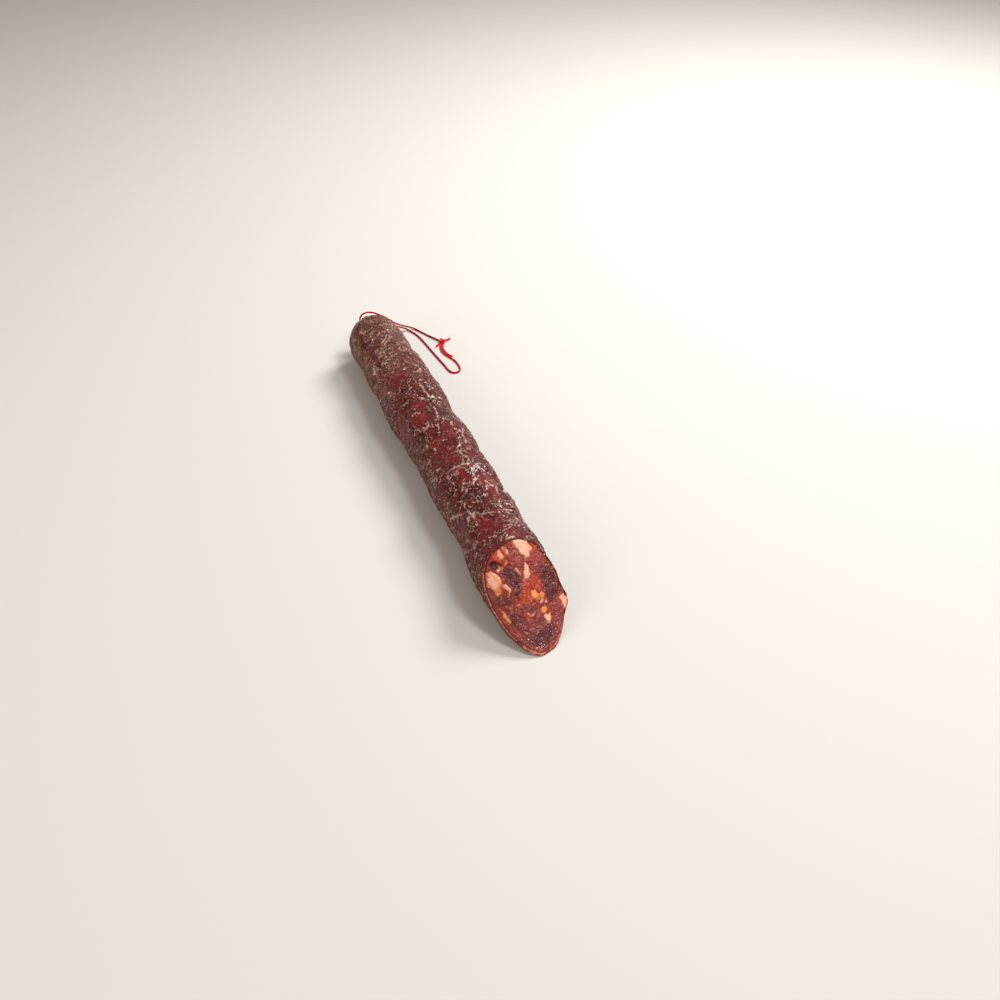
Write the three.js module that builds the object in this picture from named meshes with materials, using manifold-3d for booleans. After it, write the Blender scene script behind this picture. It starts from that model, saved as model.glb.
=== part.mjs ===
// A cured sausage: a long stick of coarse spiced pork in a wrinkled natural casing.
// One end is round, gathered into a short tail and bound with red string, which goes on as a
// hanging loop with a knot in it. The other end is cut aslant and shows the meat.
// Millimetres, +Z up. The stick lies along X with its cut end at +X. The origin is on the surface
// that it lies on, in the middle of the box round the stick and its tie.

import * as THREE from 'three';
import { mergeVertices } from 'three/addons/utils/BufferGeometryUtils.js';
import Module from 'manifold-3d';

const wasm = await Module();
wasm.setup();

// Driving dimensions of the stick
const CUT_TIP_X = 195.0;      // the lowest point of the cut, which reaches furthest
const CENTRE_LINE_Y = 1.0;    // the line that the two sides are measured from
const DOME_X = -157;          // where the straight part ends and the round end begins
const DOME_DEPTH = 22;        // how far the round end reaches beyond that
const DOME_FULLNESS = 2.5;    // 2 is an ellipse, and more is blunter
const FLAT_DEPTH = 1.0;       // the stick is pressed flat by this much where it lies
const MEAN_RADIUS = 22;       // only for the pitch of its relief and of the cut's rounding

// How far the stick's two sides stand out from its centre line, at places along X: it is thick
// before the cut, and dented on one side here and there, as a casing tied and dried by hand is
const SIDE_PLACES = [-157, -140, -125, -105, -88, -68, -50, -30, -8, 12, 32, 52, 72, 92, 112, 133, 155,
  176, 196];
const LEFT_REACH = [23.4, 22.1, 22.0, 23.0, 22.0, 23.2, 24.4, 23.0, 22.4, 20.6, 21.6, 23.0, 22.0, 21.4, 22.8,
  24.7, 25.0, 22.6, 19.2];
const RIGHT_REACH = [20.4, 20.9, 20.3, 21.6, 22.7, 22.2, 22.1, 21.4, 22.5, 23.3, 22.4, 22.9, 22.2, 22.9, 22.3,
  22.3, 21.8, 23.0, 22.0];
const RIGHT_SIDE_TURN = 0.38;  // radians above level where the right side is measured

// The cut: a face that leans back over the stick and falls away towards its left edge
const CUT_SLOPE = 1.187;      // it goes back this much for each millimetre up
const CUT_TURN = 0.40;        // and this much for each millimetre to the right
const LEFT_FALL = 14.5;       // its left edge lies back from its middle by this
const LEFT_FALL_POWER = 1.7;  // 1 is straight, and more is rounder
const CUT_RELIEF = 0.55;      // uneven height of fat and lean on the face
const PIECE_SPACING = 8;      // from one large piece of meat or fat to the next
const CRUMB_SPACING = 5;
const HOLLOW = { y: -15.5, z: 37.0, width: 3.2, height: 2.2, depth: 3.0 };   // a small gap in the meat

// The gathered tail of casing beyond the round end: place along X and radius, from its tip inward
const TAIL_TIP_X = -194.4;
const TAIL_PLACES = [-194, -193, -190.8, -188.3, -185.9, -183.6, -181.4, -179.8];
const TAIL_RADII = [4.2, 5.7, 6.1, 5.0, 3.5, 3.3, 3.4, 4.3];
const TAIL_RISE = 1.2;        // it stands this much above the middle of the round end
const PLEATS = 8;
const PLEAT_DEPTH = 0.45;      // on the round end
const TAIL_PLEAT_SHARE = 0.07; // of the tail's radius
const PLEAT_SWAY = 0.6;        // the pleats aren't evenly spaced
const PLEATS_FROM = 4;         // they begin this far before the round end

// Relief of the casing: broad lumps of meat under it and shorter wrinkles
const LUMP_SPACING = 21;
const LUMP_HEIGHT = 0.8;
const WRINKLE_SPACING = 9.5;
const WRINKLE_HEIGHT = 0.4;
const UNDERSIDE_CALM = 0.75;   // share of the relief that lying flat takes away
const END_CALM = 0.6;          // and that the taut round end takes away

// Fineness of the stick's mesh
const SIDES = 40;
const STRAIGHT_STEP = 4.7;
const DOME_RINGS = 8;
const DOME_FIRST_TURN = 0.13;  // the round end meets the tail at this turn, in radians
const SHEAR_START_X = 100;    // from here on the rings lean over, ring by ring, into the cut
const SHEAR_RINGS = 17;
const CUT_RINGS = 8;
const EDGE_PASSES = 40;        // rounds of closing in on the edge of the cut

// The red string and its binding
const STRING_DIAMETER = 1.5;
const STRING_SIDES = 8;
const STRING_STEP = 3.9;
const TIE_X = -183.6;
const TIE_TURNS = 4;
const TIE_PITCH = 1.2;        // from turn to turn, pulled tight
const TIE_INNER_RADIUS = 4.15;
const TIE_HEIGHT = 1.7;       // how thick the turns lie on the neck of the tail
const TIE_SEGMENTS = 24;
const TIE_GROOVE = 0.35;       // how deep the turns' sides fall away
const TIE_OUTER_TURN_DROP = 0.5;
const STRING_Z = 0.85;        // height of the string's middle where it lies on the surface

// The string's way, chosen by hand. The near strand comes out of the tie on the left, goes over
// the tail, falls to the surface and runs to the knot
const STRAND_TO_KNOT = [
  [-186.9, -4.2, 24.4], [-189.1, -5.2, 25.9], [-191.0, -4.7, 27.9], [-192.4, -2.3, 29.7],
  [-193.1, 1.8, 30.5], [-193.3, 6.2, 29.6], [-193.4, 10.8, 27.2], [-194.0, 17.8, 22.3],
  [-196.3, 25.0, 15.4], [-199.6, 31.0, 10.2], [-203.4, 36.8, 5.8], [-206.2, 41.4, 2.6],
  [-205.2, 45.1, 1.1], [-200.6, 47.8, STRING_Z], [-189.2, 52.9, STRING_Z], [-175.9, 59.3, 1.2],
];
// The far strand leaves the knot, turns back at the loop's end, and rises to the tie's right side
const STRAND_FROM_KNOT = [
  [-169.6, 58.2, 1.2], [-165.6, 56.4, STRING_Z], [-159.4, 55.7, STRING_Z], [-152.1, 56.7, STRING_Z],
  [-145.9, 59.0, STRING_Z], [-139.5, 60.7, STRING_Z], [-131.4, 61.0, STRING_Z], [-126.3, 60.3, STRING_Z],
  [-123.3, 58.6, STRING_Z], [-122.0, 55.6, STRING_Z], [-123.3, 52.6, STRING_Z], [-127.4, 50.9, STRING_Z],
  [-136.9, 50.1, STRING_Z], [-153.6, 48.4, STRING_Z], [-189.7, 44.9, STRING_Z], [-200.4, 41.8, 0.9],
  [-205.8, 38.4, 1.6], [-205.6, 33.6, 4.2], [-200.6, 29.2, 8.4], [-195.4, 24.2, 12.6],
  [-190.2, 17.6, 17.0], [-186.2, 11.2, 20.2], [-184.2, 7.5, 20.9],
];

// The knot and its three loose ends, one of which lies along the far strand
const KNOT = { place: [-172.8, 60.2, 2.2], size: [3.0, 2.7, 2.1] };
const LOOSE_ENDS = [
  [[-173.6, 61.4, 1.8], [-175.2, 64.8, 1.2], [-177.2, 68.8, STRING_Z]],
  [[-171.4, 58.6, 1.7], [-169.9, 56.0, 1.0], [-168.4, 53.4, STRING_Z]],
  [[-171.2, 60.4, 1.8], [-165.8, 58.6, 1.0], [-159.4, 57.7, STRING_Z], [-152.6, 58.7, STRING_Z],
    [-147.6, 60.8, STRING_Z]],
];

const casing = new THREE.MeshStandardMaterial({ color: 0x5c2626, roughness: 0.55, metalness: 0 });
const string = new THREE.MeshStandardMaterial({ color: 0xb5121b, roughness: 0.8, metalness: 0 });

// Smooth reading of a row of values at places along X
function along(places, values, x) {
  if (x <= places[0]) return values[0];
  const last = places.length - 1;
  if (x >= places[last]) return values[last];
  let i = 0;
  while (x > places[i + 1]) i += 1;
  const t = (x - places[i]) / (places[i + 1] - places[i]);
  const before = values[Math.max(i - 1, 0)];
  const after = values[Math.min(i + 2, last)];
  const bend = (2 * before - 5 * values[i] + 4 * values[i + 1] - after) * t * t;
  const swing = (3 * values[i] - before - 3 * values[i + 1] + after) * t * t * t;
  return values[i] + 0.5 * ((values[i + 1] - before) * t + bend + swing);
}

const smooth = (t) => t * t * (3 - 2 * t);
const clamp01 = (t) => Math.min(Math.max(t, 0), 1);

// Seeded random heights, -1 to 1, at the corners of a grid that closes round the stick
function heightAt(seed, column, row) {
  const wave = Math.sin(column * 127.1 + row * 311.7 + seed * 74.7) * 43758.5453;
  return 2 * (wave - Math.floor(wave)) - 1;
}

function lumps(seed, spacing, x, angle) {
  const rows = Math.round((2 * Math.PI * MEAN_RADIUS) / spacing);
  const u = x / spacing;
  const v = ((angle / (2 * Math.PI)) * rows + rows) % rows;
  const [column, row] = [Math.floor(u), Math.floor(v)];
  const [fu, fv] = [smooth(u - column), smooth(v - row)];
  const corner = (i, j) => heightAt(seed, column + i, (row + j) % rows);
  const near = corner(0, 0) * (1 - fu) + corner(1, 0) * fu;
  const far = corner(0, 1) * (1 - fu) + corner(1, 1) * fu;
  return near * (1 - fv) + far * fv;
}

// The stick's radius and the height of its middle at a place along X. Angles start at the right
// side, +Y, and go up and over to the left
function reach(x, angle) {
  const place = Math.max(x, DOME_X);
  const left = along(SIDE_PLACES, LEFT_REACH, place);
  const right = along(SIDE_PLACES, RIGHT_REACH, place);
  const rightShare = (1 + Math.cos(angle - RIGHT_SIDE_TURN)) / 2;
  return left + (right - left) * rightShare;
}

function middleHeight(x) {
  const place = Math.max(x, DOME_X);
  return (along(SIDE_PLACES, LEFT_REACH, place) + along(SIDE_PLACES, RIGHT_REACH, place)) / 2 - FLAT_DEPTH;
}

function domeShare(x) {
  const depth = clamp01((DOME_X - x) / DOME_DEPTH);
  return (1 - depth ** DOME_FULLNESS) ** (1 / DOME_FULLNESS);
}

const pleatWave = (angle) => Math.cos(PLEATS * angle + PLEAT_SWAY * Math.sin(2 * angle));

function skinPoint(x, angle) {
  const towardsTail = clamp01((DOME_X + PLEATS_FROM - x) / DOME_DEPTH);
  const pleat = PLEAT_DEPTH * smooth(towardsTail) * pleatWave(angle);
  const underside = clamp01(-1.6 * Math.sin(angle) - 0.5);
  const roughness = (1 - UNDERSIDE_CALM * underside) * (1 - END_CALM * towardsTail);
  const relief = LUMP_HEIGHT * lumps(1, LUMP_SPACING, x, angle)
    + WRINKLE_HEIGHT * lumps(2, WRINKLE_SPACING, x, angle);
  const radius = (reach(x, angle) + relief * roughness) * domeShare(x) + pleat;
  return new THREE.Vector3(x, radius * Math.cos(angle), middleHeight(x) + radius * Math.sin(angle));
}

function tailPoint(x, angle) {
  const radius = along(TAIL_PLACES, TAIL_RADII, x) * (1 + TAIL_PLEAT_SHARE * pleatWave(angle));
  const height = middleHeight(DOME_X) + TAIL_RISE * clamp01((DOME_X - DOME_DEPTH + 1 - x) / 3);
  return new THREE.Vector3(x, radius * Math.cos(angle), height + radius * Math.sin(angle));
}

// The cut face, read as a place along X for each y and z
function cutX(y, z, inward) {
  const across = y / MEAN_RADIUS;
  const face = CUT_TIP_X - CUT_SLOPE * z - CUT_TURN * y
    - LEFT_FALL * Math.max(-across, 0) ** LEFT_FALL_POWER;
  const uneven = CUT_RELIEF * (lumps(3, PIECE_SPACING, face, across) + lumps(4, CRUMB_SPACING, face, across));
  const fromHollow = ((y - HOLLOW.y) / HOLLOW.width) ** 2 + ((z - HOLLOW.z) / HOLLOW.height) ** 2;
  return face + inward * (uneven - HOLLOW.depth * Math.exp(-fromHollow));
}

// Where the skin at this angle meets the cut
function cutEdge(angle) {
  let point = skinPoint(CUT_TIP_X, angle);
  for (let pass = 0; pass < EDGE_PASSES; pass += 1) {
    point = skinPoint(cutX(point.y, Math.max(point.z, 0), 0), angle);
  }
  return point;
}

const onSurface = (point) => point.setZ(Math.max(point.z, 0));

function stickRings() {
  const rings = [];
  const ring = (make) => rings.push(Array.from({ length: SIDES }, (_, j) => (
    onSurface(make((j / SIDES) * 2 * Math.PI)))));
  for (const x of TAIL_PLACES) ring((angle) => tailPoint(x, angle));
  for (let k = 0; k < DOME_RINGS; k += 1) {
    const turn = DOME_FIRST_TURN + (Math.PI / 2 - DOME_FIRST_TURN) * (k / DOME_RINGS);
    ring((angle) => skinPoint(DOME_X - DOME_DEPTH * Math.cos(turn), angle));
  }
  const straightRings = Math.round((SHEAR_START_X - DOME_X) / STRAIGHT_STEP);
  for (let k = 0; k < straightRings; k += 1) {
    const x = DOME_X + (SHEAR_START_X - DOME_X) * (k / straightRings);
    ring((angle) => skinPoint(x, angle));
  }
  for (let k = 0; k < SHEAR_RINGS; k += 1) {
    const share = k / SHEAR_RINGS;
    ring((angle) => skinPoint(SHEAR_START_X + (cutEdge(angle).x - SHEAR_START_X) * share, angle));
  }
  ring(cutEdge);
  const edge = rings[rings.length - 1];
  const middle = edge.reduce((sum, point) => sum.add(point), new THREE.Vector3()).divideScalar(SIDES);
  for (let k = 1; k < CUT_RINGS; k += 1) {
    const share = 1 - k / CUT_RINGS;
    rings.push(edge.map((point) => {
      const y = middle.y + (point.y - middle.y) * share;
      const z = middle.z + (point.z - middle.z) * share;
      return new THREE.Vector3(cutX(y, z, 1), y, z);
    }));
  }
  const heart = new THREE.Vector3(cutX(middle.y, middle.z, 1), middle.y, middle.z);
  return { rings, heart };
}

// A closed skin from rings of points, with a single point at each end
function ringSolid(rings, first, last) {
  const positions = [first, ...rings.flat(), last].flatMap((point) => [point.x, point.y, point.z]);
  const at = (ring, side) => 1 + ring * SIDES + (side % SIDES);
  const lastIndex = 1 + rings.length * SIDES;
  const faces = [];
  for (let j = 0; j < SIDES; j += 1) {
    faces.push(0, at(0, j + 1), at(0, j));
    for (let i = 0; i + 1 < rings.length; i += 1) {
      faces.push(at(i, j), at(i, j + 1), at(i + 1, j + 1), at(i, j), at(i + 1, j + 1), at(i + 1, j));
    }
    faces.push(lastIndex, at(rings.length - 1, j), at(rings.length - 1, j + 1));
  }
  const geometry = new THREE.BufferGeometry();
  geometry.setAttribute('position', new THREE.Float32BufferAttribute(positions, 3));
  geometry.setIndex(faces);
  geometry.computeVertexNormals();
  return geometry;
}

function makeStick() {
  const { rings, heart } = stickRings();
  const tip = new THREE.Vector3(TAIL_TIP_X, 0, middleHeight(DOME_X) + TAIL_RISE);
  return ringSolid(rings, tip, heart);
}

// The turns of string round the neck of the tail, side by side, as one ring
function makeTie() {
  const width = TIE_TURNS * TIE_PITCH;
  const outline = [new THREE.Vector2(TIE_INNER_RADIUS, -width / 2)];
  for (let turn = 0; turn < TIE_TURNS; turn += 1) {
    const middle = -width / 2 + TIE_PITCH * (turn + 0.5);
    const isOuter = turn === 0 || turn === TIE_TURNS - 1;
    const top = TIE_INNER_RADIUS + TIE_HEIGHT - (isOuter ? TIE_OUTER_TURN_DROP : 0);
    const side = TIE_PITCH * 0.45;
    outline.push(new THREE.Vector2(top - TIE_GROOVE, middle - side));
    outline.push(new THREE.Vector2(top, middle));
    outline.push(new THREE.Vector2(top - TIE_GROOVE, middle + side));
  }
  outline.push(new THREE.Vector2(TIE_INNER_RADIUS, width / 2));
  outline.push(outline[0].clone());
  const ring = new THREE.LatheGeometry(outline, TIE_SEGMENTS);
  ring.rotateZ(-Math.PI / 2);
  ring.translate(TIE_X, 0, middleHeight(DOME_X) + TAIL_RISE);
  return ring;
}

// A length of string along a smooth way through points
function makeStrand(points) {
  const corners = points.map((point) => new THREE.Vector3(...point));
  const way = new THREE.CatmullRomCurve3(corners, false, 'centripetal');
  const section = new THREE.Shape();
  for (let k = 0; k < STRING_SIDES; k += 1) {
    const turn = ((k + 0.5) / STRING_SIDES) * 2 * Math.PI;
    const [x, y] = [Math.cos(turn) * STRING_DIAMETER / 2, Math.sin(turn) * STRING_DIAMETER / 2];
    if (k === 0) section.moveTo(x, y);
    else section.lineTo(x, y);
  }
  section.closePath();
  const steps = Math.max(2, Math.round(way.getLength() / STRING_STEP));
  return new THREE.ExtrudeGeometry(section, { steps, bevelEnabled: false, extrudePath: way });
}

function toSolid(geometry) {
  const bare = geometry.clone();
  bare.deleteAttribute('normal');
  bare.deleteAttribute('uv');
  const merged = mergeVertices(bare, 1e-4);
  return new wasm.Manifold(new wasm.Mesh({
    numProp: 3,
    vertProperties: Float32Array.from(merged.attributes.position.array),
    triVerts: Uint32Array.from(merged.index.array),
  }));
}

function toGeometry(solid) {
  const mesh = solid.getMesh();
  const geometry = new THREE.BufferGeometry();
  geometry.setAttribute('position', new THREE.BufferAttribute(mesh.vertProperties, 3));
  geometry.setIndex(new THREE.BufferAttribute(mesh.triVerts, 1));
  geometry.computeVertexNormals();
  return geometry;
}

function makeKnot() {
  const lump = new THREE.SphereGeometry(1, 14, 10);
  lump.scale(...KNOT.size);
  lump.translate(...KNOT.place);
  let knot = toSolid(lump);
  for (const end of LOOSE_ENDS) knot = knot.add(toSolid(makeStrand(end)));
  return toGeometry(knot);
}

const sausage = new THREE.Group();

function place(name, geometry, material, y = 0) {
  const mesh = new THREE.Mesh(geometry, material);
  mesh.name = name;
  mesh.position.y = y;
  sausage.add(mesh);
}

place('sausage', makeStick(), casing, CENTRE_LINE_Y);
place('end_tie', makeTie(), string, CENTRE_LINE_Y);
place('string_short', makeStrand(STRAND_TO_KNOT), string);
place('string_long', makeStrand(STRAND_FROM_KNOT), string);
place('string_knot', makeKnot(), string);

export default sausage;
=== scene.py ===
import bpy
import math
import numpy as np
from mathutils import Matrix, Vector, noise
from mathutils.kdtree import KDTree


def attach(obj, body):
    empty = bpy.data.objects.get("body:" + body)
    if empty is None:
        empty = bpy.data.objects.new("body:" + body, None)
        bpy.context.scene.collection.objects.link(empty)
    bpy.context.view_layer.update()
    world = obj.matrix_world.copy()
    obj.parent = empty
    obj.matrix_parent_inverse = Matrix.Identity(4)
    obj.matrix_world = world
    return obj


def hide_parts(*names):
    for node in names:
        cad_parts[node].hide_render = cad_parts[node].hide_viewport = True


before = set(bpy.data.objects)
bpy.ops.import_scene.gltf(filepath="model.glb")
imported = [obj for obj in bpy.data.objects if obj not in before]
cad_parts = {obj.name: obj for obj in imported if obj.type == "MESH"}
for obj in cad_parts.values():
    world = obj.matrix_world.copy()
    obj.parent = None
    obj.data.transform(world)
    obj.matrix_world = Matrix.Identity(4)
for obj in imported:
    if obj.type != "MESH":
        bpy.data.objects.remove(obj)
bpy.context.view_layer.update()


# The camera. It looks down along the sausage from beyond its cut end, a little to the left,
# from about 75 cm away.
CAMERA_PLACE = (0.5845, -0.1775, 0.4441)
CAMERA_TILT = 52.26            # degrees up from looking straight down
CAMERA_HEADING = 69.0
CAMERA_LENS = 37.84            # millimetres
CAMERA_FILM = 36
SEEN_AS_FAR_AS = 20            # metres

bpy.ops.object.select_all(action='DESELECT')
bpy.ops.object.camera_add(
    location=CAMERA_PLACE,
    rotation=(math.radians(CAMERA_TILT), 0, math.radians(CAMERA_HEADING)))
camera = bpy.context.object
camera.name = "camera"
camera.data.lens = CAMERA_LENS
camera.data.sensor_width = CAMERA_FILM
camera.data.clip_end = SEEN_AS_FAR_AS
bpy.context.scene.camera = camera
bpy.context.scene.view_settings.view_transform = 'Standard'


# The string. One length of red three-ply twine, 1.5 mm thick, leaves the binding on the left,
# goes over the tail, lies flat as a long loop to hang the sausage by, and comes back to
# the binding on the right. It is held by the binding, and a knot closes the loop.
MM = 0.001                     # the sizes below are in millimetres
TWINE = 1.5 * MM
TWINE_PITCH = 4.2 * MM         # one turn of the lay
TWINE_STEP = 0.34 * MM         # from one section to the next
PLIES = 3
PLY_CORNERS = 6                # of the section's outline, for each ply
PLY_FURROW = 0.17 * MM         # how deep the furrow between two plies is
FRAYED_SECTIONS = 6            # that the open fibres of a loose end take up
LYING = 0.85                   # height of the string's middle where it lies flat


def in_metres(points):
    """Points given in millimetres, in metres."""
    return [tuple(value * MM for value in point) for point in points]


def smooth_line(points):
    """A smooth way through points, as points that lie one step apart."""
    points = [Vector(point) for point in points]
    points = [2 * points[0] - points[1]] + points + [2 * points[-1] - points[-2]]
    fine = [points[1]]
    shares = 40                # of each stretch between two points
    for a, b, c, d in zip(points, points[1:], points[2:], points[3:]):
        t1 = (b - a).length ** 0.5
        t2 = t1 + (c - b).length ** 0.5
        t3 = t2 + (d - c).length ** 0.5
        for k in range(1, shares + 1):
            t = t1 + (t2 - t1) * k / shares
            ab = a.lerp(b, t / t1)
            bc = b.lerp(c, (t - t1) / (t2 - t1))
            cd = c.lerp(d, (t - t2) / (t3 - t2))
            abc = ab.lerp(bc, t / t2)
            bcd = bc.lerp(cd, (t - t1) / (t3 - t1))
            fine.append(abc.lerp(bcd, (t - t1) / (t2 - t1)))
    run = np.array([tuple(point) for point in fine])
    along = np.r_[0, np.cumsum(np.linalg.norm(np.diff(run, axis=0), axis=1))]
    places = np.linspace(0, along[-1], max(2, round(along[-1] / TWINE_STEP) + 1))
    return [tuple(row) for row in np.stack([np.interp(places, along, run[:, k]) for k in range(3)], -1)]


def pick(*pieces):
    """Selects these objects alone and makes the first one active."""
    bpy.ops.object.select_all(action='DESELECT')
    for piece in pieces:
        piece.select_set(True)
    bpy.context.view_layer.objects.active = pieces[0]


def keep_marks(mesh, marks):
    """Stores values, one for each vertex, on the mesh for its material to read."""
    for label, values in marks.items():
        mark = mesh.attributes.new(label, 'FLOAT', 'POINT')
        mark.data.foreach_set('value', np.asarray(values, dtype=np.float32))


def get_places(mesh):
    """Where the vertices are, in millimetres."""
    places = np.empty(len(mesh.vertices) * 3)
    mesh.vertices.foreach_get('co', places)
    return places.reshape(-1, 3) / MM


def rising(values, start, span):
    """0 at the start and before it, 1 at the span's end and beyond; a span below 0 runs backwards."""
    return np.clip((values - start) / span, 0, 1)


def face_outward():
    """Turns the faces of the mesh that is being edited outward, and smooths it."""
    bpy.ops.mesh.select_all(action='SELECT')
    bpy.ops.mesh.normals_make_consistent(inside=False)
    bpy.ops.object.mode_set(mode='OBJECT')
    bpy.ops.object.shade_smooth()


def lay_twine(name, points, thickness=TWINE, fray=0.0):
    """A length of twisted twine on a line of points: a lobed section drawn along it as it turns."""
    section = bpy.data.curves.new(name + "_section", 'CURVE')
    section.dimensions = '2D'
    outline = section.splines.new('POLY')
    corners = PLY_CORNERS * PLIES
    outline.points.add(corners - 1)
    outline.use_cyclic_u = True
    for k, point in enumerate(outline.points):
        turn = 2 * math.pi * k / corners
        reach = thickness / 2 - PLY_FURROW * (1 - abs(math.cos(PLIES * turn / 2)) ** 0.7)
        point.co = (reach * math.cos(turn), reach * math.sin(turn), 0, 1)
    section_object = bpy.data.objects.new(name + "_section", section)
    bpy.context.collection.objects.link(section_object)
    line = bpy.data.curves.new(name, 'CURVE')
    line.dimensions = '3D'
    line.twist_mode = 'MINIMUM'
    line.bevel_mode = 'OBJECT'
    line.bevel_object = section_object
    line.use_fill_caps = True
    run = line.splines.new('POLY')
    run.points.add(len(points) - 1)
    for k, (point, place) in enumerate(zip(run.points, points)):
        point.co = (*place, 1)
        point.tilt = 2 * math.pi * k * TWINE_STEP / TWINE_PITCH
        from_end = min(k, len(points) - 1 - k)
        point.radius = 1 + fray * max(0, 1 - from_end / FRAYED_SECTIONS)
    twine = bpy.data.objects.new(name, line)
    bpy.context.collection.objects.link(twine)
    pick(twine)
    bpy.ops.object.convert(target='MESH')
    twine = bpy.context.object
    bpy.data.objects.remove(section_object)
    bpy.ops.object.mode_set(mode='EDIT')
    bpy.ops.mesh.select_all(action='SELECT')
    bpy.ops.mesh.remove_doubles(threshold=1e-6)
    face_outward()
    middle_line = KDTree(len(points))
    for k, place in enumerate(points):
        middle_line.insert(place, k)
    middle_line.balance()
    reached = np.array([middle_line.find(vertex.co)[2] for vertex in twine.data.vertices])
    # How far each point lies down in the furrows between the plies, for painted shade there
    keep_marks(twine.data, {"furrow": rising(thickness / 2 - reached, 0, PLY_FURROW)})
    return twine


def add_group(name, inputs, outputs):
    """An empty shader node group with named inputs and outputs."""
    group = bpy.data.node_groups.new(name, 'ShaderNodeTree')
    for label, kind, value in inputs:
        socket = group.interface.new_socket(label, in_out='INPUT', socket_type=kind)
        socket.default_value = value
    for label, kind in outputs:
        group.interface.new_socket(label, in_out='OUTPUT', socket_type=kind)
    return group, group.nodes.new('NodeGroupInput'), group.nodes.new('NodeGroupOutput')


def new_material(name):
    """A new material; gives it, its node tree and its shader."""
    material = bpy.data.materials.new(name)
    material.use_nodes = True
    return material, material.node_tree, material.node_tree.nodes['Principled BSDF']


def feed(tree, socket, value):
    """Gives a socket a value, or what another socket gives."""
    if isinstance(value, bpy.types.NodeSocket):
        tree.links.new(value, socket)
    else:
        socket.default_value = value


def set_node(tree, node, **values):
    """Sets a node's settings and feeds its inputs, by name."""
    for label, value in values.items():
        if hasattr(node, label):
            setattr(node, label, value)
        else:
            feed(tree, node.inputs[label.replace("_", " ")], value)
    return node


def place_node(tree, kind, **values):
    """Adds a node and sets it."""
    return set_node(tree, tree.nodes.new(kind), **values)


def add_noise(tree, **values):
    """The strength of a noise over the piece."""
    where = tree.nodes.new('ShaderNodeTexCoord').outputs['Object']
    return place_node(tree, 'ShaderNodeTexNoise', Vector=where, **values).outputs['Fac']


def reckon(tree, operation, *values, clamp=False):
    """A Math node on sockets or numbers; gives its result."""
    node = place_node(tree, 'ShaderNodeMath', operation=operation, use_clamp=clamp)
    for socket, value in zip(node.inputs, values):
        feed(tree, socket, value)
    return node.outputs[0]


def times(tree, first, second):
    """The product of two values."""
    return reckon(tree, 'MULTIPLY', first, second)


def ramp(tree, value, slope, start):
    """A value made steeper and shifted, and held between 0 and 1."""
    return reckon(tree, 'MULTIPLY_ADD', value, slope, start, clamp=True)


def blend(tree, share, below, above):
    """Mixes two colours, given as sockets or as red, green and blue, by a share."""
    below, above = ((*color, 1) if isinstance(color, tuple) else color for color in (below, above))
    node = place_node(tree, 'ShaderNodeMix', data_type='RGBA', Factor=share, A=below, B=above)
    return node.outputs['Result']


def read_mark(tree, label):
    """The value that the mesh keeps under this name."""
    return place_node(tree, 'ShaderNodeAttribute', attribute_name=label).outputs['Fac']


def bumped(tree, height, strength, distance):
    """The normal of a skin that this height raises."""
    return place_node(tree, 'ShaderNodeBump', Strength=strength, Distance=distance,
                      Height=height).outputs['Normal']


# Dyed fibre, used by the string, its knot and its binding: fine hairs along the ply, the dye
# uneven, and painted shade down in the furrows between the plies.
HAIR_SCALE = 5200.0
FADING_SCALE = 420.0
fibre, fibre_in, fibre_out = add_group(
    "dyed_fibre",
    [("Dye", 'NodeSocketColor', (0.62, 0.012, 0.03, 1)),
     ("Deep", 'NodeSocketColor', (0.16, 0.004, 0.012, 1)), ("Furrow", 'NodeSocketFloat', 0.0)],
    [("Color", 'NodeSocketColor'), ("Height", 'NodeSocketFloat')])
hair = add_noise(fibre, Scale=HAIR_SCALE, Detail=3.0)
worn = reckon(fibre, 'MULTIPLY_ADD', add_noise(fibre, Scale=FADING_SCALE, Detail=4.0), 1.1, -0.35)
# Painted shade in the furrows, over the uneven dye
shade = reckon(fibre, 'ADD', worn, fibre_in.outputs['Furrow'], clamp=True)
dyed = blend(fibre, shade, fibre_in.outputs['Dye'], fibre_in.outputs['Deep'])
set_node(fibre, fibre_out, Color=dyed, Height=hair)


def twine_material(name, dye, deep, bright_dye=None):
    """Red twine: dyed fibre with a soft sheen. Where the mesh says so the dye is brighter."""
    material, tree, skin = new_material(name)
    dye = blend(tree, read_mark(tree, "brightened"), dye, bright_dye) if bright_dye else (*dye, 1)
    thread = place_node(tree, 'ShaderNodeGroup', node_tree=fibre, Dye=dye, Deep=(*deep, 1),
                        Furrow=read_mark(tree, "furrow"))
    set_node(tree, skin, Base_Color=thread.outputs['Color'], Roughness=0.72,
             Normal=bumped(tree, thread.outputs['Height'], 0.5, 0.1 * MM),
             Sheen_Weight=0.08, Sheen_Roughness=0.5, Specular_IOR_Level=0.15)
    return material


dark_twine = twine_material("dark_red_twine", dye=(0.56, 0.012, 0.026), deep=(0.18, 0.004, 0.010),
                            bright_dye=(0.86, 0.020, 0.020))
bright_twine = twine_material("bright_red_twine", dye=(0.90, 0.016, 0.014), deep=(0.48, 0.006, 0.008))

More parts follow.
